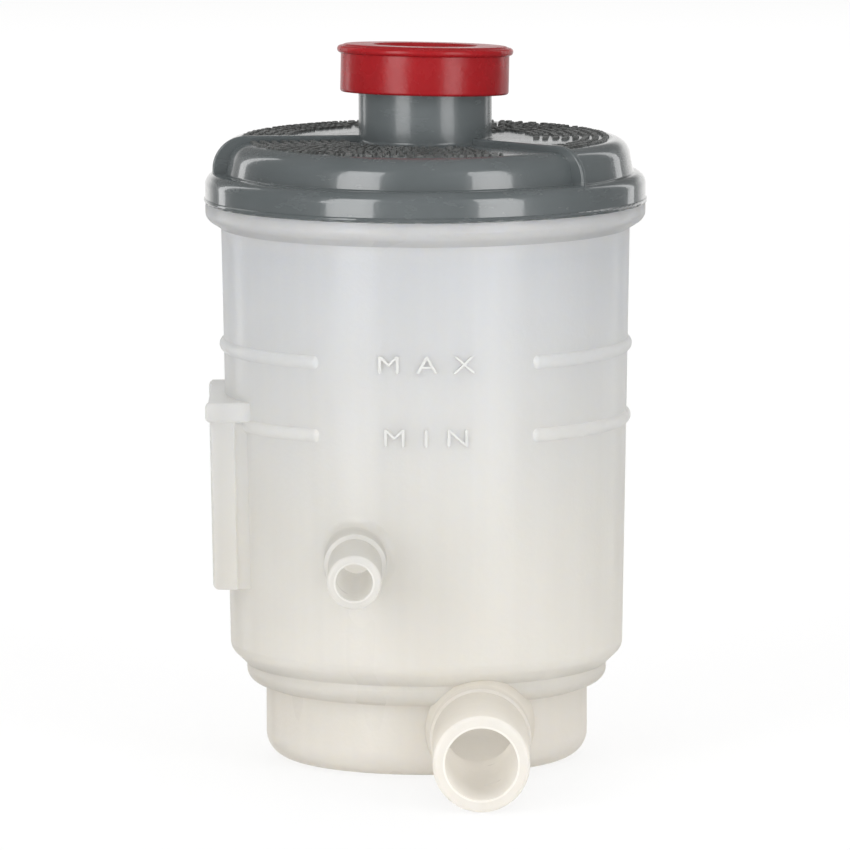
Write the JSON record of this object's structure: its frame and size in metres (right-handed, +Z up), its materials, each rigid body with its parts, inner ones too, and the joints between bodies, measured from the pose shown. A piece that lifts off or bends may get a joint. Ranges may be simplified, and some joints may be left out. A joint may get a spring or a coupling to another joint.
{
  "type": "power steering reservoir",
  "caption": "Round translucent fluid reservoir with welded grey lid, push-on red filler cap, two front hose nipples, side bracket slot and inner strainer.",
  "frame": {"origin": "centre of the flat base, on the cup's axis", "axes": "+Z up along the cup's axis to the filler cap, -Y along both hose nipples out of the front, -X to the bracket slot"},
  "size_m": [0.0806, 0.1083, 0.1308],
  "materials": {
    "natural_nylon": "satin, translucent, creamy white",
    "grey_lid": "smooth, semi-gloss",
    "red_cap": "soft, semi-gloss",
    "seal_rubber": "matt",
    "strainer_plastic": "satin",
    "strainer_mesh": "fine woven screen"
  },
  "bodies": {
    "reservoir": {"reservoir_body": "natural_nylon", "lid": "grey_lid", "strainer_frame": "strainer_plastic", "strainer_screen": "strainer_mesh"},
    "cap": {"filler_cap": "red_cap", "cap_seal": "seal_rubber"}
  },
  "joints": [
    {"name": "cap_lift", "type": "slide", "parent": "reservoir", "child": "cap", "axis": [0, 0, 1], "range_m": [0, 0.03]}
  ]
}
